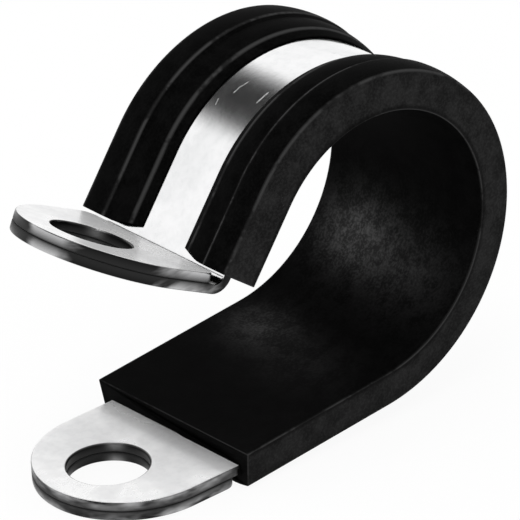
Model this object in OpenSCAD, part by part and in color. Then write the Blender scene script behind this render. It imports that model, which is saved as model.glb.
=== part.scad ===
// P clip for cables and pipes: a steel strap bent round a loop, a rubber liner that wraps
// the edges of the strap, and a reinforcing plate on the outer side of each screw tab.
// The clip is sprung open, as it is before its screw goes in.
// The origin is the centre of the lower screw hole, on the underside of the lower plate.
// +Z is up, the loop lies towards +X, and its axis runs along Y.

/* [Loop] */
// Radius of the lower part of the rubber seat that holds the cable
lower_seat_r = 11.3; // [8:0.1:25]
// Arc of the lower part of the seat, in degrees
lower_seat_arc = 94; // [60:1:110]
// Radius of the upper part of the seat
upper_seat_r = 10.6; // [7.5:0.1:24]
// Arc of the upper part of the seat, in degrees
upper_seat_arc = 134; // [100:1:145]
// Straight run of the liner from the lower tab to the seat
lower_run = 14.5; // [8:0.1:24]
// Straight run of the liner from the seat to the upper tab
upper_run = 6.7; // [3:0.1:9]
// Rise of the lower run away from the lower tab, in degrees
lower_rise = 4.7; // [1:0.1:9]
// Tilt of the open upper tab above the level, in degrees
upper_tilt = 27; // [12:1:40]

/* [Strap] */
// Width of the steel strap
strap_w = 15; // [12:0.5:20]
// Thickness of the strap
strap_t = 0.8; // [0.6:0.05:1.2]
// Radius inside the bend between the liner and the upper tab
bend_r = 0.75; // [0.5:0.05:1.5]
// Radius of the slight bend between the liner and the lower tab, on its outer side
root_bend_r = 3; // [2.5:0.1:6]
// Bare strap between the end of the liner and the bend of the upper tab
bare_leg = 0.2; // [0.1:0.05:1]
// Bevel that the blanking tool leaves round the strap and the plates
edge_break = 0.1; // [0.05:0.01:0.15]

/* [Screw tabs] */
// Diameter of the screw holes
hole_d = 6.4; // [5:0.1:7.5]
// Distance from the hole's centre to the straight edge of the plate
hole_setback = 6.4; // [5.5:0.1:12]
// Distance from the hole's centre to the tip of the strap
tip_reach = 5.4; // [5:0.1:7]
// Thickness of the reinforcing plates
plate_t = 0.8; // [0.6:0.05:1.5]
// Radius of the plate's corners next to the liner
plate_corner_r = 1; // [0.5:0.1:2]
// Distance that the plate's tip stays back from the strap's tip
plate_short = 0; // [0:0.05:0.5]

/* [Liner] */
// Thickness of the rubber between the cable and the strap
liner_t = 1.4; // [1:0.1:2]
// Distance that the liner stands out beyond each edge of the strap
liner_side = 1.2; // [0.8:0.1:2]
// Distance that each lip laps over the outer face of the strap
lip_lap = 5; // [4:0.05:5.5]
// Height of a lip above the strap at the side face
lip_side_t = 0.8; // [0.5:0.05:1.2]
// Height above the strap of the ridge along each lip
ridge_t = 1; // [0.8:0.05:1.3]
// Place of the ridge, as a share of the lip's width from its side face
ridge_share = 0.5; // [0.4:0.05:0.6]
// Width of the step on the inner side of the ridge
step_w = 0.4; // [0.2:0.05:0.5]
// Depth of the step on the inner side of the ridge
step_t = 0.25; // [0.1:0.05:0.3]
// Height of a lip above the strap where the bevel of its inner edge starts
lip_edge_t = 0.55; // [0.35:0.05:0.9]
// Width of the bevel along a lip's inner edge
lip_bevel_w = 0.8; // [0.4:0.05:1]
// Thickness of a lip at its inner edge
lip_tip_t = 0.1; // [0.05:0.01:0.2]
// Rise of the crown of each half of a lip above the straight line between its edges
bead_rise = 0.1; // [0.05:0.01:0.2]
// Distance that each side face leans in from the seat to the lip
side_lean = 0.45; // [0:0.05:0.6]

/* [Fits] */
// Clearance between the strap and its slot in the liner
slot_gap = 0.05; // [0.02:0.01:0.15]
// Clearance between the plate's straight edge and the nearest bend
edge_gap = 0.05; // [0:0.05:0.5]

/* [Hidden] */
$fn = 96;

// Depths are measured outwards from the rubber surface that holds the cable.
strap_out = liner_t + strap_t;
slot_in = liner_t - slot_gap;
slot_out = strap_out + slot_gap;
slot_half_w = strap_w / 2 + slot_gap;
liner_half_w = strap_w / 2 + liner_side;
lip_half_w = liner_half_w - side_lean;
lip_edge = strap_w / 2 - lip_lap;

// The lip's outer side, as depth and width: at the side face, on the ridge, at the foot of the
// step, and where the bevel of the inner edge starts.
bevel_y = lip_edge + lip_bevel_w;
ridge_y = lip_half_w - (lip_half_w - bevel_y) * ridge_share;
lip_side_p = [strap_out + lip_side_t, lip_half_w];
ridge_p = [strap_out + ridge_t, ridge_y];
foot_p = [strap_out + ridge_t - step_t, ridge_y - step_w];
bevel_p = [strap_out + lip_edge_t, bevel_y];

// Places along the screw tabs, with the hole's centre at zero and the loop towards +X.
tip_centre = strap_w / 2 - tip_reach;
plate_centre = tip_centre + plate_short;
bend_start = hole_setback + edge_gap;

// Level of the rubber's surface over the lower tab, and the bends at both ends of the loop.
surface_z = plate_t + strap_out;
root_turn_r = root_bend_r - strap_out;
upper_turn_r = strap_out + bend_r;
upper_bend = lower_rise + lower_seat_arc + upper_seat_arc + upper_tilt - 180;

// Flats that make up the curve of a crown.
bead_steps = 6;
// Times that pieces are made smaller while they are joined end to end.
join_scale = 100;
// Length of a cut that goes right through a tab.
through = 4 * (strap_t + plate_t);

// Joins its children while they are small, where the rounding of their places is too fine to
// part the end faces that meet.
module joined() {
    scale(join_scale) union() {
        for (i = [0:$children - 1]) scale(1 / join_scale) children(i);
    }
}

// --- The path of the strap, drawn in side view: X along the path, Y towards the cable ---

// Goes to the end of an arc whose centre lies r from the path, on the cable's side.
module turned(r, turn) {
    translate([0, r, 0]) rotate([0, 0, turn]) translate([0, -r, 0]) children();
}

// Swaps the cable's side and the outer side.
module swapped() { mirror([0, 1, 0]) children(); }

module at_root_bend() { rotate([90, 0, 0]) translate([bend_start, surface_z, 0]) children(); }

module at_lower_run() { at_root_bend() turned(root_turn_r, lower_rise) children(); }

module at_lower_seat() { at_lower_run() translate([lower_run, 0, 0]) children(); }

module at_upper_seat() { at_lower_seat() turned(lower_seat_r, lower_seat_arc) children(); }

module at_upper_run() { at_upper_seat() turned(upper_seat_r, upper_seat_arc) children(); }

module at_upper_bend() { at_upper_run() translate([upper_run + bare_leg, 0, 0]) children(); }

// The lower tab's frame: the hole's centre on the underside of the strap, +X to the bend.
module at_lower_tab() { translate([0, 0, plate_t]) children(); }

// The upper tab's frame is the same, with the underside towards the lower tab.
module at_upper_tab() {
    at_upper_bend() swapped() turned(upper_turn_r, upper_bend) swapped()
    translate([bend_start, -liner_t, 0]) rotate([-90, 0, 180]) children();
}

// A section has depth on X and width on Y. It is carried straight along the path.
module carry(length) {
    rotate([-90, 0, 0]) rotate([0, 90, 0]) linear_extrude(length) children();
}

// The section is carried round an arc.
module carry_round(r, turn) {
    translate([0, r, 0]) rotate([0, 0, -90]) rotate_extrude(angle = turn)
    translate([r, 0]) children();
}

// --- Sheet metal ---

// A sheet's outline has the same bevel on every edge: depth from 0 to t.
module bevelled(t, half_w) {
    polygon([
        [0, edge_break - half_w], [edge_break, -half_w],
        [t - edge_break, -half_w], [t, edge_break - half_w],
        [t, half_w - edge_break], [t - edge_break, half_w],
        [edge_break, half_w], [0, half_w - edge_break]
    ]);
}

module strap_section() { translate([liner_t, 0]) bevelled(strap_t, strap_w / 2); }

// Half of the section of a flat disc with bevelled rims.
module rim_profile(r, t) {
    polygon([
        [0, 0], [r - edge_break, 0], [r, edge_break],
        [r, t - edge_break], [r - edge_break, t], [0, t]
    ]);
}

// A flat bar of sheet from x0 to x1, lying on the tab's plane.
module flat_bar(x0, x1, half_w, t) {
    translate([x0, 0, 0]) rotate([0, 90, 0]) linear_extrude(x1 - x0)
    translate([-t, 0]) bevelled(t, half_w);
}

module round_tip(centre, t) {
    translate([centre, 0, 0]) rotate([0, 0, 90])
    rotate_extrude(angle = 180) rim_profile(strap_w / 2, t);
}

module screw_hole() { translate([0, 0, -through / 2]) cylinder(h = through, d = hole_d); }

module strap_tab() {
    difference() {
        union() {
            round_tip(tip_centre, strap_t);
            flat_bar(tip_centre, bend_start, strap_w / 2, strap_t);
        }
        screw_hole();
    }
}

module tab_plate() {
    corner_x = hole_setback - plate_corner_r;
    corner_y = strap_w / 2 - plate_corner_r;
    difference() {
        union() {
            round_tip(plate_centre, plate_t);
            flat_bar(plate_centre, corner_x, strap_w / 2, plate_t);
            translate([corner_x, 0, 0]) rotate([0, 0, 90])
            flat_bar(-corner_y, corner_y, plate_corner_r, plate_t);
            for (side = [-1, 1]) {
                translate([corner_x, side * corner_y, 0])
                rotate_extrude() rim_profile(plate_corner_r, plate_t);
            }
        }
        screw_hole();
    }
}

module steel_strap() {
    color("silver") joined() {
        at_lower_tab() strap_tab();
        at_root_bend() carry_round(root_turn_r, lower_rise) strap_section();
        at_lower_run() carry(lower_run) strap_section();
        at_lower_seat() carry_round(lower_seat_r, lower_seat_arc) strap_section();
        at_upper_seat() carry_round(upper_seat_r, upper_seat_arc) strap_section();
        at_upper_run() carry(upper_run + bare_leg) strap_section();
        at_upper_bend() swapped() carry_round(upper_turn_r, upper_bend)
        mirror([1, 0]) strap_section();
        at_upper_tab() strap_tab();
    }
}

module lower_tab_plate() {
    color("gainsboro") at_lower_tab() translate([0, 0, -plate_t]) tab_plate();
}

module upper_tab_plate() {
    color("gainsboro") at_upper_tab() translate([0, 0, strap_t]) tab_plate();
}

// --- Rubber liner ---

// The arc of a crown from p to q, which rises from the line between them.
function crown(p, q) =
    let (half = norm(p - q) / 2,
         r = (half * half + bead_rise * bead_rise) / (2 * bead_rise),
         along = (p - q) / (2 * half),
         out = [along.y, -along.x],
         reach = asin(half / r))
    [for (i = [0:bead_steps])
        let (a = reach * (1 - 2 * i / bead_steps))
        (p + q) / 2 + along * r * sin(a) + out * (r * cos(a) - r + bead_rise)];

// One half of the liner's outline: up the side face, over the lip's two crowns with the ridge
// and its step between them, down the bevel, and into the slot.
half_outline = concat(
    [[0, liner_half_w]],
    crown(lip_side_p, ridge_p),
    crown(foot_p, bevel_p),
    [[slot_out + lip_tip_t, lip_edge], [slot_out, lip_edge]],
    [[slot_out, slot_half_w], [slot_in, slot_half_w]]
);

module liner_section() {
    last = len(half_outline) - 1;
    polygon(concat(half_outline, [for (i = [0:last]) let (p = half_outline[last - i]) [p.x, -p.y]]));
}

module rubber_liner() {
    color([0.11, 0.11, 0.12]) joined() {
        at_lower_run() carry(lower_run) liner_section();
        at_lower_seat() carry_round(lower_seat_r, lower_seat_arc) liner_section();
        at_upper_seat() carry_round(upper_seat_r, upper_seat_arc) liner_section();
        at_upper_run() carry(upper_run) liner_section();
    }
}

steel_strap();
rubber_liner();
lower_tab_plate();
upper_tab_plate();
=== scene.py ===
"""P clip: a zinc-plated steel strap with a rubber liner round its loop, and a plate on each tab.

Every piece is worked out flat, as the strap was before it was bent, and then carried onto the
clip's path. A flat place has three numbers, in millimetres: s along the strap from the centre
of the lower screw hole, y across it, and d, the depth outwards from the rubber's inner face.
"""
import math

import bmesh
import bpy
import numpy as np
from mathutils import Matrix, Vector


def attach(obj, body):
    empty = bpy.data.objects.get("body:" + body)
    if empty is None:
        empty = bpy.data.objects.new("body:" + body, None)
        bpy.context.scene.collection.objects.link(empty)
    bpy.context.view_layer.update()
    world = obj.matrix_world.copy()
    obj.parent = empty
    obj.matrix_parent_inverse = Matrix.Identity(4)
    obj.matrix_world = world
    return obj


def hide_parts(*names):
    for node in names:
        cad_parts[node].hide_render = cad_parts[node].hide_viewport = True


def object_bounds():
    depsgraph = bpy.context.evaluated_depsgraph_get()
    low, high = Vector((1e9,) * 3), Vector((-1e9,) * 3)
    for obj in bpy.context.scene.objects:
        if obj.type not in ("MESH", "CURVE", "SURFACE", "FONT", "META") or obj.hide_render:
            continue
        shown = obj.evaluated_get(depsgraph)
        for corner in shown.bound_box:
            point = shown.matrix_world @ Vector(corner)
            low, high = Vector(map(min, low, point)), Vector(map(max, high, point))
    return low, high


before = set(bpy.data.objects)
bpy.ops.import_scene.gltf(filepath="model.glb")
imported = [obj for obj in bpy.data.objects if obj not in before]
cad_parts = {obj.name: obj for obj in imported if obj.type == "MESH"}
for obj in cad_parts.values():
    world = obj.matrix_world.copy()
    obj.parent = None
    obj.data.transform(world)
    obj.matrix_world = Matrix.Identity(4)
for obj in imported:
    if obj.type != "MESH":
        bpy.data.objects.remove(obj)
cad_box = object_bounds()

MM = 0.001
SHEET_UV = 0.1    # the sheet's UV map is in centimetres

# --- Sizes, as in the part's source, in millimetres and degrees ---

LOWER_SEAT_R, LOWER_SEAT_ARC = 11.3, 94.0
UPPER_SEAT_R, UPPER_SEAT_ARC = 10.6, 134.0
LOWER_RUN, UPPER_RUN = 14.5, 6.7
LOWER_RISE, UPPER_TILT = 4.7, 27.0
STRAP_HALF_W, STRAP_T = 7.5, 0.8
BEND_R, ROOT_BEND_R, BARE_LEG = 0.75, 3.0, 0.2
HOLE_R, HOLE_SETBACK, TIP_REACH = 3.2, 6.4, 5.4
PLATE_T, PLATE_CORNER_R = 0.8, 1.0
LINER_T, LINER_SIDE, LIP_LAP = 1.4, 1.2, 5.0
LIP_SIDE_T, RIDGE_T, RIDGE_SHARE = 0.8, 1.0, 0.5
STEP_W, STEP_T, LIP_EDGE_T = 0.4, 0.25, 0.55
LIP_BEVEL_W, LIP_TIP_T, BEAD_RISE, SIDE_LEAN = 0.8, 0.1, 0.1, 0.45
SLOT_GAP, EDGE_GAP = 0.05, 0.05

STRAP_OUT = LINER_T + STRAP_T
PLATE_OUT = STRAP_OUT + PLATE_T
BEND_START = HOLE_SETBACK + EDGE_GAP
TIP_CENTRE = STRAP_HALF_W - TIP_REACH


# --- The path ---

def make_path():
    """The clip's path in side view, as a row for each straight or arc.

    A row holds its first s, the x, z and heading there, and its curvature: one over the
    radius, positive where the path turns towards the cable, and zero on a straight.
    """
    upper_bend = LOWER_RISE + LOWER_SEAT_ARC + UPPER_SEAT_ARC + UPPER_TILT - 180.0
    steps = [
        (BEND_START + TIP_REACH, 0.0),
        (LOWER_RISE, ROOT_BEND_R - STRAP_OUT),
        (LOWER_RUN, 0.0),
        (LOWER_SEAT_ARC, LOWER_SEAT_R),
        (UPPER_SEAT_ARC, UPPER_SEAT_R),
        (UPPER_RUN + BARE_LEG, 0.0),
        (upper_bend, -(STRAP_OUT + BEND_R)),
        (BEND_START + TIP_REACH, 0.0),
    ]
    s, x, z, heading = -TIP_REACH, -TIP_REACH, PLATE_OUT, 0.0
    rows = []
    for amount, radius in steps:
        rows.append((s, x, z, heading, 1.0 / radius if radius else 0.0))
        if radius:
            turn = math.copysign(math.radians(amount), radius)
            x += radius * (math.sin(heading + turn) - math.sin(heading))
            z += radius * (math.cos(heading) - math.cos(heading + turn))
            heading += turn
            s += abs(turn * radius)
        else:
            x += amount * math.cos(heading)
            z += amount * math.sin(heading)
            s += amount
    rows.append((s, x, z, heading, 0.0))
    return np.array(rows)


PATH = make_path()
# Where the liner, the lower arc of the seat, the upper bend and the upper tab start
S_LINER, S_LOWER_SEAT, S_BEND, S_TAB = PATH[[2, 3, 6, 7], 0]
S_LINER_END = S_BEND - BARE_LEG
S_UPPER_HOLE = S_TAB + BEND_START


def along(s, y, d):
    """Flat places to metres. On a straight the point moves along the heading; on an arc the
    heading turns by s times the curvature and the point goes round the arc's centre. It is
    then pushed outwards by d, square to the heading."""
    s, y, d = np.broadcast_arrays(*(np.asarray(v, dtype=float) for v in (s, y, d)))
    row = PATH[np.clip(np.searchsorted(PATH[:, 0], s, side="right") - 1, 0, len(PATH) - 2)]
    run, heading0, curve = s - row[..., 0], row[..., 3], row[..., 4]
    heading = heading0 + run * curve
    bend = np.where(curve == 0.0, 1.0, curve)
    x = row[..., 1] + np.where(curve == 0.0, run * np.cos(heading0),
                               (np.sin(heading) - np.sin(heading0)) / bend)
    z = row[..., 2] + np.where(curve == 0.0, run * np.sin(heading0),
                               (np.cos(heading0) - np.cos(heading)) / bend)
    return np.stack([x + d * np.sin(heading), y, z - d * np.cos(heading)], axis=-1) * MM


def stations(start, end, straight_step=1.2, turn_step=2.5):
    """Values of s from start to end, evenly spaced in each straight and arc."""
    marks = [start] + [v for v in PATH[1:-1, 0] if start + 1e-6 < v < end - 1e-6] + [end]
    out = []
    for a, b in zip(marks, marks[1:]):
        curve = PATH[np.searchsorted(PATH[:, 0], (a + b) / 2) - 1, 4]
        pieces = abs(math.degrees((b - a) * curve)) / turn_step if curve else (b - a) / straight_step
        n = math.ceil(pieces)
        out.append(np.linspace(a, b, max(n, 1) + 1)[:-1])
    return np.concatenate(out + [[end]])


def smooth_step(x, a, b):
    """From 0 at a to 1 at b: 3 k^2 - 2 k^3, where k is how far x lies between them."""
    k = np.clip((x - a) / (b - a), 0.0, 1.0)
    return k * k * (3 - 2 * k)


# --- Meshes ---

def grid_faces(rows, columns, close_rows=False, close_columns=False):
    """Four-sided faces of a grid of points numbered row by row, as an array of corners."""
    r = np.arange(rows if close_rows else rows - 1)[:, None]
    c = np.arange(columns if close_columns else columns - 1)[None, :]
    r1, c1 = (r + 1) % rows, (c + 1) % columns
    corners = [r * columns + c, r * columns + c1, r1 * columns + c1, r1 * columns + c]
    return np.stack([np.broadcast_to(k, (r.size, c.size)) for k in corners], axis=-1).reshape(-1, 4)


def make_piece(name, points, faces, flat, marks, merge=False):
    """A mesh object at the origin from points in metres and faces given as corner numbers.

    flat holds s and y of each point, which become a UV map in centimetres of sheet. marks
    maps the name of an attribute to one number per point. merge joins doubled points and
    turns the faces outwards.
    """
    mesh = bpy.data.meshes.new(name)
    mesh.from_pydata(np.asarray(points).reshape(-1, 3).tolist(), [], [list(f) for f in faces])
    corner = np.empty(len(mesh.loops), dtype=np.int32)
    mesh.loops.foreach_get("vertex_index", corner)
    sheet = mesh.uv_layers.new(name="sheet")
    sheet.data.foreach_set("uv", (np.asarray(flat).reshape(-1, 2) * SHEET_UV)[corner].ravel())
    for mark, values in marks.items():
        layer = mesh.attributes.new(mark, "FLOAT", "POINT")
        layer.data.foreach_set("value", np.asarray(values, dtype=float).ravel())
    if merge:
        work = bmesh.new()
        work.from_mesh(mesh)
        bmesh.ops.remove_doubles(work, verts=work.verts, dist=2e-7)
        bmesh.ops.recalc_face_normals(work, faces=work.faces)
        work.to_mesh(mesh)
        work.free()
    mesh.polygons.foreach_set("use_smooth", np.ones(len(mesh.polygons), dtype=bool))
    mesh.update()
    piece = bpy.data.objects.new(name, mesh)
    bpy.context.collection.objects.link(piece)
    return piece


# --- Sheet metal: rims rounded by the blanking tool ---

RIM_R = 0.13          # rounding of the outer rims
HOLE_RIM_R = 0.16     # rounding of the hole's rims
QUARTER = np.linspace(0.0, math.pi / 2, 6)
FACE_STEPS = np.array([0.04, 0.25, 0.5, 0.75, 0.96])    # from a hole's rim to the outer rim


def rim_path(d0, d1, r):
    """Inset and depth round a rim from the face at d0 to the face at d1: a quarter circle of
    radius r, the flat of the edge, and another quarter circle."""
    inset = r * (1 - np.sin(QUARTER))
    depth = r * (1 - np.cos(QUARTER))
    return (np.concatenate([inset, inset[::-1]]),
            np.concatenate([d0 + depth, d1 - depth[::-1]]))


def tab_grid(outline, normals, rim, d0, d1):
    """The closed skin of a tab with its screw hole, as a grid of flat places (q, y, d), and how
    much of the cut edge each column of it is.

    Each row is one ray from the hole to the outline. Along it go the hole's wall, its rounded
    rim, the top face, the outer rim and the underside back to the hole. q is measured from
    the hole's centre. rim is the outer rounding of each row, zero where the strap goes on.
    """
    direction = outline / np.linalg.norm(outline, axis=1, keepdims=True)
    hole_inset, hole_depth = rim_path(d0, d1, HOLE_RIM_R)
    ring = []
    # Hole's wall, from the underside to the top face.
    for k in range(len(hole_inset))[::-1]:
        ring.append((direction * (HOLE_R + hole_inset[k]), np.full(len(outline), hole_depth[k])))
    inner = direction * (HOLE_R + HOLE_RIM_R)
    outer = outline - normals * rim[:, None]
    for k in FACE_STEPS:
        ring.append((inner + (outer - inner) * k, np.full(len(outline), d0)))
    quarter_in, quarter_down = 1 - np.sin(QUARTER), 1 - np.cos(QUARTER)
    for inset, down in zip(quarter_in, quarter_down):
        ring.append((outline - normals * (rim * inset)[:, None], d0 + rim * down))
    for inset, down in zip(quarter_in[::-1], quarter_down[::-1]):
        ring.append((outline - normals * (rim * inset)[:, None], d1 - rim * down))
    for k in FACE_STEPS[::-1]:
        ring.append((inner + (outer - inner) * k, np.full(len(outline), d1)))
    flat = np.stack([np.concatenate([place, depth[:, None]], axis=1) for place, depth in ring], axis=1)
    none, rounded = np.zeros(len(FACE_STEPS)), np.concatenate([1 - quarter_in, 1 - quarter_in[::-1]])
    return flat, np.concatenate([1 - hole_inset[::-1] / HOLE_RIM_R, none, rounded, none])


def arc_outline(centre, radius, start, end, steps):
    """Points and outward normals of an arc, start and end in degrees."""
    angle = np.radians(np.linspace(start, end, steps))
    normal = np.stack([np.cos(angle), np.sin(angle)], axis=1)
    return np.asarray(centre) + radius * normal, normal


def line_outline(a, b, normal, steps):
    """Points strictly between a and b, with one outward normal for them all."""
    k = np.linspace(0, 1, steps + 2)[1:-1, None]
    points = np.asarray(a) + (np.asarray(b) - np.asarray(a)) * k
    return points, np.broadcast_to(np.asarray(normal, dtype=float), points.shape)


def plate_outline():
    """The D of a tab plate: a full-round tip, straight sides and two rounded corners."""
    c = HOLE_SETBACK - PLATE_CORNER_R
    w = STRAP_HALF_W - PLATE_CORNER_R
    parts = [
        arc_outline((TIP_CENTRE, 0), STRAP_HALF_W, 90, 270, 73),
        line_outline((TIP_CENTRE, -STRAP_HALF_W), (c, -STRAP_HALF_W), (0, -1), 5),
        arc_outline((c, -w), PLATE_CORNER_R, 270, 360, 10),
        line_outline((HOLE_SETBACK, -w), (HOLE_SETBACK, w), (1, 0), 19),
        arc_outline((c, w), PLATE_CORNER_R, 0, 90, 10),
        line_outline((c, STRAP_HALF_W), (TIP_CENTRE, STRAP_HALF_W), (0, 1), 5),
    ]
    return np.concatenate([p for p, n in parts]), np.concatenate([n for p, n in parts])


# Painted reflections on the upper tab's cut edge, as bright and dark stretches: q, y, reach, and brighter or
# darker
EDGE_REFLECTIONS = ((-4.9, 3.0, 1.7, -0.7), (-5.2, -0.9, 1.6, 0.9),
              (-2.6, -5.2, 2.6, -0.9), (4.0, -7.5, 3.2, 0.45))
STRAP_EDGE_TONE = -0.25    # how much darker the strap's own edge is than the plate's
SEAM_SHADE_REACH = 0.27          # reach of the painted shade above and below the seam
HOLE_HIGHLIGHT_TURN, HOLE_HIGHLIGHT_REACH, HOLE_HIGHLIGHT_SHARE = 40.0, 13.0, 0.75    # painted highlight on a hole's wall: its turn, its reach and how much it lifts the painted shade


def sheet_marks(s, y, d, cut):
    """What the finish depends on at each flat place of a tab or the strap: how much of the
    cut edge it is, how much painted shade lies in the seam between strap and plate and on a
    hole's wall, where a painted highlight lifts it, how bright the cut edge is, with painted
    reflections on the upper tab's edge, and how dull a tumbled tab has gone, which fades out
    over the bends."""
    q = np.where(s < S_LOWER_SEAT, s, S_UPPER_HOLE - s)
    # Painted shade along the seam between strap and plate, on the tabs only.
    seam_shade = np.exp(-((d - STRAP_OUT) / SEAM_SHADE_REACH) ** 2)
    seam_shade = seam_shade * (1 - smooth_step(q, BEND_START - 0.2, BEND_START))
    hole = cut * (1 - smooth_step(np.hypot(q, y), HOLE_R + 0.3, HOLE_R + 0.6))
    turn = np.degrees(np.arctan2(y, q))
    hole_highlight = np.exp(-((turn - HOLE_HIGHLIGHT_TURN) / HOLE_HIGHLIGHT_REACH) ** 2)
    hole = hole * (1 - HOLE_HIGHLIGHT_SHARE * hole_highlight)
    edge_tone_and_reflection = np.full(q.shape, 0.5)
    on_upper_tab = s > S_LOWER_SEAT
    # Painted reflections at set places on the upper tab's cut edge.
    for at_q, at_y, reach, amount in EDGE_REFLECTIONS:
        edge_tone_and_reflection = edge_tone_and_reflection + amount * np.exp(-(np.hypot(q - at_q, y - at_y) / reach) ** 2) * on_upper_tab
    edge_tone_and_reflection = edge_tone_and_reflection + STRAP_EDGE_TONE * (d < STRAP_OUT) * on_upper_tab
    dull = 1 - smooth_step(np.abs(q), 6.0, 8.0)
    return {"cut": cut, "seam_shade": seam_shade, "hole": hole, "dull": dull, "edge_tone_and_reflection": edge_tone_and_reflection}


def make_plate(name, upper):
    """A tab plate: the closed tab skin, on the outer side of the strap."""
    outline, normals = plate_outline()
    flat, cut = tab_grid(outline, normals, np.full(len(outline), RIM_R), STRAP_OUT, PLATE_OUT)
    q, y, d = flat[..., 0], flat[..., 1], flat[..., 2]
    s = S_UPPER_HOLE - q if upper else q
    faces = grid_faces(flat.shape[0], flat.shape[1], close_rows=True, close_columns=True)
    return make_piece(name, along(s, y, d), faces, np.stack([s, y], axis=-1),
                      sheet_marks(s, y, d, np.broadcast_to(cut, s.shape)), merge=True)


WIDTH_STEPS = np.linspace(-(STRAP_HALF_W - RIM_R), STRAP_HALF_W - RIM_R, 27)
EDGE_STEP = 0.04                 # first step in from a rim
JOINT_Q = HOLE_SETBACK - 0.4     # where a tab's skin meets the carried middle of the strap


def strap_profile():
    """The strap's section (y, d): a rectangle with four rounded corners, as a closed ring, and
    how much of the cut edge each point is."""
    across = np.concatenate([[WIDTH_STEPS[0], WIDTH_STEPS[0] + EDGE_STEP], WIDTH_STEPS[1:-1],
                             [WIDTH_STEPS[-1] - EDGE_STEP, WIDTH_STEPS[-1]]])
    inset = RIM_R * (1 - np.sin(QUARTER))
    down = RIM_R * (1 - np.cos(QUARTER))
    side_y = STRAP_HALF_W - np.concatenate([inset, inset[::-1]])
    side_d = np.concatenate([LINER_T + down, STRAP_OUT - down[::-1]])
    y = np.concatenate([across[:-1], side_y, across[::-1][1:-1], -side_y[::-1][:-1]])
    d = np.concatenate([np.full(len(across) - 1, LINER_T), side_d,
                        np.full(len(across) - 2, STRAP_OUT), side_d[::-1][:-1]])
    side = 1 - np.concatenate([inset, inset[::-1]]) / RIM_R
    cut = np.concatenate([np.zeros(len(across) - 1), side, np.zeros(len(across) - 2), side[::-1][:-1]])
    return y, d, cut


def strap_tab(upper):
    """Points, faces, flat places and cut edge of one tab of the strap, open where the middle
    of the strap joins."""
    joint_y = np.concatenate([[WIDTH_STEPS[0] + EDGE_STEP], WIDTH_STEPS[1:-1],
                              [WIDTH_STEPS[-1] - EDGE_STEP]])
    side_steps = 7
    parts = [
        arc_outline((TIP_CENTRE, 0), STRAP_HALF_W, 90, 270, 73),
        line_outline((TIP_CENTRE, -STRAP_HALF_W), (JOINT_Q, -STRAP_HALF_W), (0, -1), side_steps),
        (np.array([[JOINT_Q, -STRAP_HALF_W]]), np.array([[0.0, -1.0]])),
        (np.stack([np.full(len(joint_y), JOINT_Q), joint_y], axis=1),
         np.tile([1.0, 0.0], (len(joint_y), 1))),
        (np.array([[JOINT_Q, STRAP_HALF_W]]), np.array([[0.0, 1.0]])),
        line_outline((JOINT_Q, STRAP_HALF_W), (TIP_CENTRE, STRAP_HALF_W), (0, 1), side_steps),
    ]
    outline = np.concatenate([p for p, n in parts])
    normals = np.concatenate([n for p, n in parts])
    joint_part = 3
    on_joint = np.concatenate([np.full(len(p), k == joint_part) for k, (p, n) in enumerate(parts)])
    flat, cut = tab_grid(outline, normals, np.where(on_joint, 0.0, RIM_R), LINER_T, STRAP_OUT)
    rows, columns = flat.shape[:2]
    faces = grid_faces(rows, columns, close_rows=True, close_columns=True)
    # The rim's own faces go where both rays end on the joint, or on its corners.
    corner = np.roll(on_joint, 1) | np.roll(on_joint, -1) | on_joint
    row, column = faces[:, 0] // columns, faces[:, 0] % columns
    first = 2 * len(QUARTER) + len(FACE_STEPS)
    in_rim = (column >= first) & (column < first + 2 * len(QUARTER) - 1)
    faces = faces[~(in_rim & corner[row] & corner[(row + 1) % rows])]
    q, y, d = flat[..., 0], flat[..., 1], flat[..., 2]
    s = S_UPPER_HOLE - q if upper else q
    in_wall = np.arange(columns) < 2 * len(QUARTER)
    cut = np.where(on_joint[:, None] & ~in_wall, 0.0, cut[None, :])
    return s.ravel(), y.ravel(), d.ravel(), cut.ravel(), faces


def make_strap():
    """The strap: its section carried along the path, joined to the skins of its two tabs."""
    s = stations(JOINT_Q, S_UPPER_HOLE - JOINT_Q)
    y, d, edge = strap_profile()
    shape = (len(s), len(y))
    rows = [[np.broadcast_to(v, shape).ravel() for v in (s[:, None], y[None], d[None], edge[None])]]
    faces = [grid_faces(*shape, close_columns=True)]
    for upper in (False, True):
        *row, f = strap_tab(upper)
        faces.append(f + sum(len(k[0]) for k in rows))
        rows.append(row)
    s, y, d, cut = (np.concatenate(column) for column in zip(*rows))
    return make_piece("strap", along(s, y, d), np.concatenate(faces), np.stack([s, y], axis=-1),
                      sheet_marks(s, y, d, cut), merge=True)


# --- Rubber liner ---

RING_POINTS = 260     # points round the liner's section
LIP_END_BACK = 0.5    # set-back of a lip's inner corner at each end of the liner
LIP_END_REACH = 1.2   # how far along the strap that set-back fades
LIP_SHIFT = 0.18      # how far the thin inner parts of the lips sit towards -Y

CORNER_SOFTEN = 0.24  # length over which the extrusion die rounds a corner
END_EASE = 0.06       # how far the cut ends are eased
OUTLINE_STEP = 0.02   # spacing of the points that a section is averaged on

# Burnished places on the inner face: s, y, their reach along and across, and how shiny
BURNISHED = ((30.4, 4.0, 2.6, 3.4, 0.75), (29.6, -1.5, 3.2, 5.0, 0.30),
             (19.6, 4.6, 2.4, 3.0, 0.30), (18.0, -1.0, 3.0, 5.0, 0.10))


def crown_arc(p, q, steps=40):
    """A crown's arc from p to q, in (d, y): part of the circle that stands BEAD_RISE high on
    the line between them."""
    p, q = np.asarray(p), np.asarray(q)
    half = np.linalg.norm(p - q) / 2
    r = (half * half + BEAD_RISE * BEAD_RISE) / (2 * BEAD_RISE)
    run = (p - q) / (2 * half)
    out = np.array([run[1], -run[0]])
    a = np.linspace(1, -1, steps)[:, None] * math.asin(half / r)
    return (p + q) / 2 + run * r * np.sin(a) + out * (r * np.cos(a) - r + BEAD_RISE)


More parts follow.
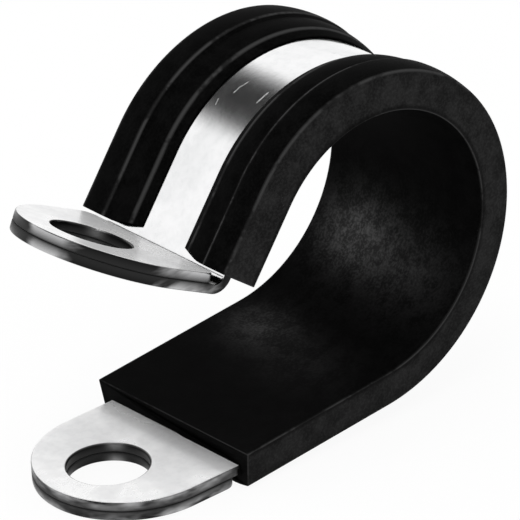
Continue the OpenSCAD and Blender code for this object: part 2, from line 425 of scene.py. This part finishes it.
def liner_profile(count, soften):
    """The liner's C-shaped section in (d, y), as a closed ring of count points.

    The sharp outline is laid out in steps of a fiftieth of a millimetre and averaged along
    its length over soften millimetres, which rounds each corner as the extrusion die does.
    Points are then taken closer together where it turns.
    """
    half_w = STRAP_HALF_W + LINER_SIDE
    slot_y, slot_out, tip_y = STRAP_HALF_W + SLOT_GAP, STRAP_OUT + SLOT_GAP, STRAP_HALF_W - LIP_LAP
    side = np.array([STRAP_OUT + LIP_SIDE_T, half_w - SIDE_LEAN])
    bevel = np.array([STRAP_OUT + LIP_EDGE_T, tip_y + LIP_BEVEL_W])
    ridge = np.array([STRAP_OUT + RIDGE_T, side[1] - (side[1] - bevel[1]) * RIDGE_SHARE])
    foot = ridge - [STEP_T, STEP_W]
    upper = np.concatenate([
        [[0.0, half_w]], crown_arc(side, ridge), crown_arc(foot, bevel),
        [[slot_out + LIP_TIP_T, tip_y], [slot_out, tip_y], [slot_out, slot_y], [LINER_T - SLOT_GAP, slot_y]],
    ])
    ring = np.concatenate([upper, upper[::-1] * [1, -1]])
    closed = np.concatenate([ring, ring[:1]])
    reach = np.concatenate([[0], np.cumsum(np.linalg.norm(np.diff(closed, axis=0), axis=1))])
    fine = int(reach[-1] / OUTLINE_STEP)
    at = np.arange(fine) * reach[-1] / fine
    dense = np.stack([np.interp(at, reach, closed[:, k]) for k in (0, 1)], axis=1)
    width = max(int(soften / OUTLINE_STEP) | 1, 3)
    kernel = np.hanning(width + 2)[1:-1]
    kernel = np.concatenate([kernel / kernel.sum(), np.zeros(fine - width)])
    kernel = np.roll(kernel, -(width // 2))
    smooth = np.real(np.fft.ifft(np.fft.fft(dense, axis=0) * np.fft.fft(kernel)[:, None], axis=0))
    step = np.roll(smooth, -1, axis=0) - smooth
    heading = np.unwrap(np.arctan2(step[:, 1], step[:, 0]))
    full_turn = 2 * math.pi
    rounds = round((heading[-1] - heading[0]) / full_turn)
    turn = np.abs(np.diff(heading, append=heading[0] + rounds * full_turn))
    # A point for each 0.6 mm of run and one for each 0.14 radian of turn, before scaling to count.
    weight = np.linalg.norm(step, axis=1) / 0.6 + turn / 0.14
    total = np.concatenate([[0], np.cumsum(weight)])
    pick = np.interp(np.arange(count) * total[-1] / count, total, np.arange(fine + 1))
    smooth = np.concatenate([smooth, smooth[:1]])
    return np.stack([np.interp(pick, np.arange(fine + 1), smooth[:, k]) for k in (0, 1)], axis=1)


def liner_marks(s, y, d, place):
    """What the finish depends on at each place of the liner: how much of a side face it is,
    how much painted highlight lies along its edges, and how shiny the inner face is. s is the
    station of each section and place is where each of its points ends up along the strap."""
    # The side face fades over its rounded corners.
    side = smooth_step(np.abs(y), 8.0, 8.2) * smooth_step(d, 0.05, 0.3) * (1 - smooth_step(d, 2.75, 2.98))
    # Painted highlights along the edges: the ridge, the bevel's edge and the outer corners.
    half_w = STRAP_HALF_W + LINER_SIDE
    bevel_y = STRAP_HALF_W - LIP_LAP + LIP_BEVEL_W
    ridge_y = half_w - SIDE_LEAN - (half_w - SIDE_LEAN - bevel_y) * RIDGE_SHARE
    edge_highlight = np.zeros_like(y)
    for edge_d, edge_y, reach in (
        (STRAP_OUT + RIDGE_T, ridge_y, 0.17), (STRAP_OUT + LIP_EDGE_T, bevel_y, 0.22),
        (STRAP_OUT + LIP_SIDE_T, half_w - SIDE_LEAN, 0.2), (0.0, half_w, 0.12),
    ):
        away = np.hypot(d - edge_d, np.abs(y) - edge_y)
        edge_highlight = np.maximum(edge_highlight, np.exp(-(away / reach) ** 2))
    # The eased rims of the cut ends get a painted highlight too.
    from_end = np.minimum(s - S_LINER, S_LINER_END - s)[:, None]
    outer = np.maximum(1 - smooth_step(d, 0.0, 0.15), smooth_step(np.abs(y), 8.05, 8.2))
    edge_highlight = np.maximum(edge_highlight, 0.8 * outer * np.exp(-((from_end - END_EASE) / 0.09) ** 2))
    edge_highlight[[0, -1]] = 0.0
    # The inner face is burnished in soft round places, where it has been handled.
    bore = 1 - smooth_step(d, 0.0, 0.2)
    shine = np.zeros_like(y)
    for at_s, at_y, reach_s, reach_y, amount in BURNISHED:
        shine = shine + amount * np.exp(-((place - at_s) / reach_s) ** 2 - ((y - at_y) / reach_y) ** 2)
    return {"side": side, "edge_highlight": edge_highlight, "shine": bore * shine}


def make_liner():
    """The liner: its section carried along the path, with cut ends that are eased a little.

    Towards each end the inner corner of a lip falls back by LIP_END_BACK, and both lips sit
    LIP_SHIFT towards -Y where they are thin.
    """
    ring = liner_profile(RING_POINTS, CORNER_SOFTEN)
    ahead = np.roll(ring, -1, axis=0) - np.roll(ring, 1, axis=0)
    inward = np.stack([-ahead[:, 1], ahead[:, 0]], axis=1) / np.linalg.norm(ahead, axis=1, keepdims=True)
    if np.sum((ring - ring.mean(axis=0)) * inward) > 0:
        inward = -inward
    s = stations(S_LINER + END_EASE, S_LINER_END - END_EASE, turn_step=2.0)
    near = np.array([0.0, END_EASE * 0.3, END_EASE, END_EASE * 3])
    s = np.concatenate([S_LINER + near[:2], s[:1], S_LINER + near[3:], s[1:-1],
                        S_LINER_END - near[3:], s[-1:], S_LINER_END - near[1::-1]])
    cut = np.zeros(len(s))
    cut[[0, -1]] = END_EASE
    cut[[1, -2]] = END_EASE * 0.3
    section = ring[None] + inward[None] * cut[:, None, None]
    d, y = section[..., 0], section[..., 1]
    on_lip = smooth_step(d, STRAP_OUT - 0.1, STRAP_OUT + 0.05)
    back = LIP_END_BACK * on_lip * (1 - smooth_step(np.abs(y), 2.3, 5.0)) ** 0.8
    to_lower, to_upper = s - S_LINER, S_LINER_END - s
    at_ends = np.exp(-(to_lower / LIP_END_REACH) ** 2) - np.exp(-(to_upper / LIP_END_REACH) ** 2)
    place = s[:, None] + back * at_ends[:, None]
    shifted = y - LIP_SHIFT * on_lip * (1 - smooth_step(np.abs(y), 4.0, 8.0))
    points = along(place, shifted, d)
    n = len(ring)
    faces = grid_faces(len(s), n, close_columns=True).tolist()
    faces.append(list(range(n))[::-1])
    faces.append([(len(s) - 1) * n + k for k in range(n)])
    piece = make_piece("liner", points, faces, np.stack([place, shifted], axis=-1),
                       liner_marks(s, y, d, place), merge=True)
    for cap in list(piece.data.polygons)[-2:]:
        cap.use_smooth = False
    return piece


# --- Materials ---

def new_material(name):
    """An empty material's node tree with its Principled shader."""
    material = bpy.data.materials.new(name)
    material.use_nodes = True
    tree = material.node_tree
    return material, tree, tree.nodes["Principled BSDF"]


def join(tree, source, target):
    """Sets a socket to another node's output, or to a plain number or colour."""
    if isinstance(source, bpy.types.NodeSocket):
        tree.links.new(source, target)
    else:
        target.default_value = source


def math_node(tree, operation, a, b=0.0, c=0.0, clamp=False):
    node = tree.nodes.new("ShaderNodeMath")
    node.operation = operation
    node.use_clamp = clamp
    for value, socket in zip((a, b, c), node.inputs):
        join(tree, value, socket)
    return node.outputs[0]


def remap(tree, value, low, high, to_low, to_high):
    """Carries value from low..high to to_low..to_high, with soft ends."""
    node = tree.nodes.new("ShaderNodeMapRange")
    node.interpolation_type = "SMOOTHSTEP"
    keys = ("Value", "From Min", "From Max", "To Min", "To Max")
    for v, key in zip((value, low, high, to_low, to_high), keys):
        join(tree, v, node.inputs[key])
    return node.outputs["Result"]


def blend_colour(tree, factor, a, b):
    node = tree.nodes.new("ShaderNodeMix")
    node.data_type = "RGBA"
    join(tree, factor, node.inputs["Factor"])
    for value, key in ((a, 6), (b, 7)):
        join(tree, value if isinstance(value, bpy.types.NodeSocket) else (*value, 1.0), node.inputs[key])
    return node.outputs[2]


def noise(tree, place, scale, detail=2.0, rough=0.5, stretch=None):
    """Noise at a place. stretch scales the place first, so a small number draws it out."""
    if stretch is not None:
        mapping = tree.nodes.new("ShaderNodeMapping")
        mapping.vector_type = "POINT"
        join(tree, place, mapping.inputs["Vector"])
        mapping.inputs["Scale"].default_value = stretch
        place = mapping.outputs[0]
    node = tree.nodes.new("ShaderNodeTexNoise")
    join(tree, place, node.inputs["Vector"])
    join(tree, scale, node.inputs["Scale"])
    node.inputs["Detail"].default_value = detail
    node.inputs["Roughness"].default_value = rough
    return node.outputs["Fac"]


def new_group(name, inputs, outputs):
    """A shader node group with number inputs, each with its usual value, and number outputs.
    An input whose value is None is a place."""
    group = bpy.data.node_groups.new(name, "ShaderNodeTree")
    for key, value in inputs.items():
        kind = "NodeSocketVector" if value is None else "NodeSocketFloat"
        socket = group.interface.new_socket(key, in_out="INPUT", socket_type=kind)
        if value is not None:
            socket.default_value = value
    for key in outputs:
        group.interface.new_socket(key, in_out="OUTPUT", socket_type="NodeSocketFloat")
    return group, group.nodes.new("NodeGroupInput").outputs, group.nodes.new("NodeGroupOutput").inputs


def use_group(tree, group, **values):
    """Places a group in a material. A keyword's underscores stand for the spaces of its name."""
    node = tree.nodes.new("ShaderNodeGroup")
    node.node_tree = group
    for key, value in values.items():
        join(tree, value, node.inputs[key.replace("_", " ")])
    return node.outputs


# Soft clouds with finer flecks in them, from 0 to 1, as handling and storage leave on a surface.
patches, given, made = new_group("patches", {"Place": None, "Scale": 300.0, "Fleck share": 0.3}, ["Mask"])
soft = remap(patches, noise(patches, given["Place"], given["Scale"], 3.0, 0.55), 0.36, 0.64, 0.0, 1.0)
fleck_scale = math_node(patches, "MULTIPLY", given["Scale"], 7.3)
flecks = remap(patches, noise(patches, given["Place"], fleck_scale, 2.0, 0.6), 0.40, 0.66, 0.0, 1.0)
rest = math_node(patches, "SUBTRACT", 1.0, given["Fleck share"])
join(patches, math_node(patches, "ADD", math_node(patches, "MULTIPLY", soft, rest),
                        math_node(patches, "MULTIPLY", flecks, given["Fleck share"])), made["Mask"])

# Short fine marks: the crest lines of two drawn-out noises, broken up by a third.
scuffs, given, made = new_group("scuffs", {"Place": None, "Scale": 60.0, "Amount": 0.5}, ["Mask"])
lines = None
for stretch in ((1.0, 0.16, 1.0), (0.22, 1.0, 1.0)):
    crest = noise(scuffs, given["Place"], given["Scale"], 1.0, 0.4, stretch)
    crest = math_node(scuffs, "ABSOLUTE", math_node(scuffs, "SUBTRACT", crest, 0.5))
    crest = remap(scuffs, crest, 0.0, 0.012, 1.0, 0.0)
    lines = crest if lines is None else math_node(scuffs, "MAXIMUM", lines, crest)
few = math_node(scuffs, "SUBTRACT", 0.72, math_node(scuffs, "MULTIPLY", given["Amount"], 0.22))
spots = noise(scuffs, given["Place"], math_node(scuffs, "MULTIPLY", given["Scale"], 0.45), 1.0, 0.5)
spots = remap(scuffs, spots, few, math_node(scuffs, "ADD", few, 0.06), 0.0, 1.0)
join(scuffs, math_node(scuffs, "MULTIPLY", lines, spots), made["Mask"])

# One scratch: a thin line along X through the origin of the place it is given, fading at its
# ends and broken up by noise.
scratch, given, made = new_group("scratch", {"Place": None, "Length": 0.1, "Width": 0.01}, ["Mask"])
part = scratch.nodes.new("ShaderNodeSeparateXYZ")
join(scratch, given["Place"], part.inputs[0])
along_it = math_node(scratch, "DIVIDE", math_node(scratch, "ABSOLUTE", part.outputs["X"]), given["Length"])
beside = math_node(scratch, "DIVIDE", math_node(scratch, "ABSOLUTE", part.outputs["Y"]), given["Width"])
line = math_node(scratch, "MULTIPLY", remap(scratch, along_it, 0.35, 0.5, 1.0, 0.0),
                 remap(scratch, beside, 0.2, 0.5, 1.0, 0.0))
torn = remap(scratch, noise(scratch, given["Place"], 60.0, 2.0, 0.6), 0.38, 0.52, 0.25, 1.0)
join(scratch, math_node(scratch, "MULTIPLY", line, torn), made["Mask"])

# A fine grain, as a height from 0 to 1.
grain, given, made = new_group("grain", {"Place": None, "Size": 0.0002}, ["Height"])
rate = math_node(grain, "DIVIDE", 1.0, given["Size"])
join(grain, noise(grain, given["Place"], rate, 3.0, 0.65), made["Height"])


def places(tree):
    """The object's own coordinates, and the flat place on the sheet."""
    node = tree.nodes.new("ShaderNodeTexCoord")
    sheet = tree.nodes.new("ShaderNodeUVMap")
    sheet.uv_map = "sheet"
    return node.outputs["Object"], sheet.outputs["UV"]


def mark(tree, name):
    node = tree.nodes.new("ShaderNodeAttribute")
    node.attribute_name = name
    return node.outputs["Fac"]


def bump(tree, height, strength, distance):
    node = tree.nodes.new("ShaderNodeBump")
    join(tree, height, node.inputs["Height"])
    join(tree, strength, node.inputs["Strength"])
    node.inputs["Distance"].default_value = distance
    return node.outputs["Normal"]


# Scratches on the strap's back: s and y of the middle, its turn in degrees, length and width
SCRATCHES = (((58.95, 0.75), 4.0, 0.8, 0.13), ((58.4, 0.60), 18.0, 0.7, 0.11),
             ((58.75, -1.85), 4.0, 1.2, 0.17), ((51.9, -1.7), 65.0, 1.5, 0.28),
             ((60.3, 1.5), -20.0, 0.6, 0.09))


def make_zinc():
    """Zinc-plated steel: a bright skin, lightly clouded and finely scuffed, that tumbling has
    dulled on the tabs; cut edges part burnished and part torn, with painted reflections on the
    upper tab's edge; painted shade on the holes' walls with a painted highlight; and painted
    shade in the seams."""
    material, tree, shader = new_material("zinc_plated_steel")
    place, sheet = places(tree)
    cloud = use_group(tree, patches, Place=place, Scale=230.0, Fleck_share=0.25)["Mask"]
    marks = use_group(tree, scuffs, Place=sheet, Scale=4.5, Amount=0.1)["Mask"]
    for at, turn, length, width in SCRATCHES:
        centre = tree.nodes.new("ShaderNodeMapping")
        centre.vector_type = "TEXTURE"
        join(tree, sheet, centre.inputs["Vector"])
        centre.inputs["Location"].default_value = (at[0] * SHEET_UV, at[1] * SHEET_UV, 0.0)
        centre.inputs["Rotation"].default_value = (0.0, 0.0, math.radians(turn))
        line = use_group(tree, scratch, Place=centre.outputs[0],
                         Length=length * SHEET_UV, Width=width * SHEET_UV)["Mask"]
        marks = math_node(tree, "MAXIMUM", marks, line)
    dull, seam_shade = mark(tree, "dull"), mark(tree, "seam_shade")
    cut = remap(tree, mark(tree, "cut"), 0.25, 0.8, 0.0, 1.0)
    pale = blend_colour(tree, cloud, (0.95, 0.95, 0.955), (0.83, 0.835, 0.84))
    chalky = blend_colour(tree, cloud, (0.98, 0.98, 0.98), (0.80, 0.80, 0.805))
    skin = blend_colour(tree, dull, pale, chalky)
    # The cut edge's colour: a random torn and burnished grain, plus the painted reflections of the upper
    # tab's edge.
    torn = noise(tree, place, 240.0, 3.0, 0.6, stretch=(1.0, 1.0, 3.2))
    torn = math_node(tree, "MULTIPLY_ADD", mark(tree, "edge_tone_and_reflection"), 0.55, math_node(tree, "SUBTRACT", torn, 0.275))
    torn = remap(tree, torn, 0.34, 0.72, 0.0, 1.0)
    torn = blend_colour(tree, torn, (0.014, 0.014, 0.014), (0.50, 0.50, 0.505))
    # Painted shade darkens a hole's wall nearly to black, with a painted highlight at one turn.
    wall = remap(tree, mark(tree, "hole"), 0.05, 0.4, 0.0, 1.0)
    colour = blend_colour(tree, cut, skin, torn)
    painted_hole_wall = math_node(tree, "POWER", math_node(tree, "SUBTRACT", 1.0, mark(tree, "hole"), clamp=True), 1.5)
    painted_hole_wall = blend_colour(tree, painted_hole_wall, (0.012, 0.012, 0.012), (0.30, 0.30, 0.30))
    colour = blend_colour(tree, wall, colour, painted_hole_wall)
    # Painted shade: the seam between strap and plate is coloured nearly black.
    join(tree, blend_colour(tree, seam_shade, colour, (0.004, 0.004, 0.004)), shader.inputs["Base Color"])
    flat = math_node(tree, "SUBTRACT", dull, cut, clamp=True)
    metal = math_node(tree, "MULTIPLY_ADD", flat, -0.72, 1.0)
    join(tree, math_node(tree, "MULTIPLY_ADD", seam_shade, -0.8, metal, clamp=True), shader.inputs["Metallic"])
    rough = math_node(tree, "MULTIPLY_ADD", cloud, 0.05, 0.105)
    rough = math_node(tree, "MULTIPLY_ADD", marks, 0.35, rough)
    rough = math_node(tree, "MULTIPLY_ADD", dull, 0.16, rough)
    join(tree, math_node(tree, "MULTIPLY_ADD", seam_shade, 0.4, rough, clamp=True), shader.inputs["Roughness"])
    fine = use_group(tree, grain, Place=place, Size=0.0003)["Height"]
    height = math_node(tree, "MULTIPLY_ADD", marks, -0.8, fine)
    join(tree, bump(tree, height, 0.05, 0.00003), shader.inputs["Normal"])
    return material


def make_rubber():
    """Black EPDM rubber: dead black lips, side faces greyed by a dusty bloom, painted highlights
    along the edges in broken lines, and an inner face burnished in places."""
    material, tree, shader = new_material("black_rubber")
    place = places(tree)[0]
    cloud = use_group(tree, patches, Place=place, Scale=640.0, Fleck_share=0.5)["Mask"]
    highlight_breakup = use_group(tree, patches, Place=place, Scale=260.0, Fleck_share=0.3)["Mask"]
    side = mark(tree, "side")
    dark = blend_colour(tree, cloud, (0.0012, 0.0012, 0.0012), (0.0038, 0.0038, 0.0038))
    dusty = blend_colour(tree, cloud, (0.0095, 0.0095, 0.0095), (0.025, 0.025, 0.025))
    colour = blend_colour(tree, side, dark, dusty)
    # Painted highlight: the edges are lightened in broken lines.
    edge_highlight = remap(tree, mark(tree, "edge_highlight"), 0.3, 1.0, 0.0, 1.0)
    edge_highlight = math_node(tree, "MULTIPLY", edge_highlight, remap(tree, highlight_breakup, 0.15, 0.6, 0.3, 1.0))
    join(tree, blend_colour(tree, edge_highlight, colour, (0.040, 0.040, 0.040)), shader.inputs["Base Color"])
    rough = math_node(tree, "MULTIPLY_ADD", cloud, 0.10, 0.55)
    join(tree, math_node(tree, "MULTIPLY_ADD", side, 0.1, rough), shader.inputs["Roughness"])
    shader.inputs["Specular IOR Level"].default_value = 0.012
    shine = remap(tree, cloud, 0.0, 1.0, 0.35, 1.2)
    shine = math_node(tree, "MULTIPLY", mark(tree, "shine"), shine, clamp=True)
    join(tree, shine, shader.inputs["Coat Weight"])
    shader.inputs["Coat Roughness"].default_value = 0.42
    shader.inputs["Coat IOR"].default_value = 1.7
    fine = use_group(tree, grain, Place=place, Size=0.00022)["Height"]
    join(tree, bump(tree, fine, 0.25, 0.00004), shader.inputs["Normal"])
    return material


zinc = make_zinc()
rubber = make_rubber()

# --- Pieces ---

strap = make_strap()
lower_plate = make_plate("lower_plate", upper=False)
upper_plate = make_plate("upper_plate", upper=True)
liner = make_liner()

for piece, node, slot, material in (
    (strap, "steel_strap", "zinc_steel", zinc),
    (lower_plate, "lower_tab_plate", "zinc_steel", zinc),
    (upper_plate, "upper_tab_plate", "zinc_steel", zinc),
    (liner, "rubber_liner", "black_rubber", rubber),
):
    piece.data.materials.append(material)
    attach(piece, "root")
    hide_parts(node)

# --- Floor, lights and camera ---



def seen_rays(tree):
    """One where the ray comes from the camera or from a mirror or clear surface, else zero."""
    ray = tree.nodes.new("ShaderNodeLightPath").outputs
    bounced = math_node(tree, "ADD", ray["Is Glossy Ray"], ray["Is Transmission Ray"])
    return math_node(tree, "ADD", ray["Is Camera Ray"], bounced, clamp=True)


def turned_to(x, y, z, place):
    """The matrix that stands an object at place with these three axes."""
    return Matrix([[x[0], y[0], z[0], place[0]], [x[1], y[1], z[1], place[1]],
                   [x[2], y[2], z[2], place[2]], [0, 0, 0, 1]])


lowest = float(cad_box[0][2])
FLOOR_HALF = 3.0
corners = ((-1, -1), (1, -1), (1, 1), (-1, 1))
floor_mesh = bpy.data.meshes.new("floor")
floor_mesh.from_pydata([(FLOOR_HALF * x, FLOOR_HALF * y, lowest) for x, y in corners], [], [(0, 1, 2, 3)])
floor = bpy.data.objects.new("floor", floor_mesh)
bpy.context.collection.objects.link(floor)
paper, tree, shader = new_material("pale_floor")
shader.inputs["Base Color"].default_value = (0.92, 0.92, 0.92, 1)
shader.inputs["Roughness"].default_value = 0.9
white = tree.nodes.new("ShaderNodeEmission")
white.inputs["Strength"].default_value = 1.0
lit = tree.nodes.new("ShaderNodeMixShader")
join(tree, math_node(tree, "MULTIPLY", seen_rays(tree), 0.93), lit.inputs["Fac"])
join(tree, shader.outputs[0], lit.inputs[1])
join(tree, white.outputs[0], lit.inputs[2])
join(tree, lit.outputs[0], tree.nodes["Material Output"].inputs["Surface"])
floor.data.materials.append(paper)

world = bpy.data.worlds.new("studio")
bpy.context.scene.world = world
world.use_nodes = True
tree = world.node_tree
ray = tree.nodes.new("ShaderNodeSeparateXYZ")
join(tree, tree.nodes.new("ShaderNodeTexCoord").outputs["Generated"], ray.inputs[0])
ceiling = remap(tree, ray.outputs["Z"], 0.61, 0.71, 0.0, 1.0)
shown = blend_colour(tree, ceiling, (1.0, 1.0, 1.0), (0.02, 0.02, 0.02))
background = tree.nodes["Background"]
join(tree, blend_colour(tree, seen_rays(tree), (0.80, 0.80, 0.80), shown), background.inputs["Color"])
background.inputs["Strength"].default_value = 1.0


def area_light(name, place, target, size, power):
    """A square soft light at a place in metres, turned towards a target."""
    data = bpy.data.lights.new(name, "AREA")
    data.shape = "SQUARE"
    data.size = size
    data.energy = power
    lamp = bpy.data.objects.new(name, data)
    aim = np.array(target, dtype=float) - np.array(place, dtype=float)
    z = -aim / np.linalg.norm(aim)
    x = np.cross([0.0, 1.0, 0.0] if abs(z[1]) < 0.9 else [1.0, 0.0, 0.0], z)
    x /= np.linalg.norm(x)
    y = np.cross(z, x)
    lamp.matrix_world = turned_to(x, y, z, place)
    lamp.visible_camera = False
    bpy.context.collection.objects.link(lamp)
    return lamp


MIDDLE = (0.014, 0.0, 0.012)
area_light("top_light", (-0.05, -0.05, 0.55), MIDDLE, 0.30, 0.9)
back_light = area_light("back_light", (-0.30, 0.36, 0.22), MIDDLE, 0.24, 0.30)
back_light.visible_glossy = False

camera_data = bpy.data.cameras.new("camera")
camera = bpy.data.objects.new("camera", camera_data)
RIGHT = (0.750736, -0.6582259, -0.055983)
UP = (0.3455715, 0.3190839, 0.8824771)
BACK = (-0.563006, -0.6818535, 0.4670118)
camera.matrix_world = turned_to(RIGHT, UP, BACK, (-0.3283867, -0.4172629, 0.2985553))
camera_data.sensor_width = 36.0
camera_data.lens = 556.0
camera_data.clip_start = 0.01
bpy.context.collection.objects.link(camera)
bpy.context.scene.camera = camera

bpy.context.scene.view_settings.view_transform = "Standard"
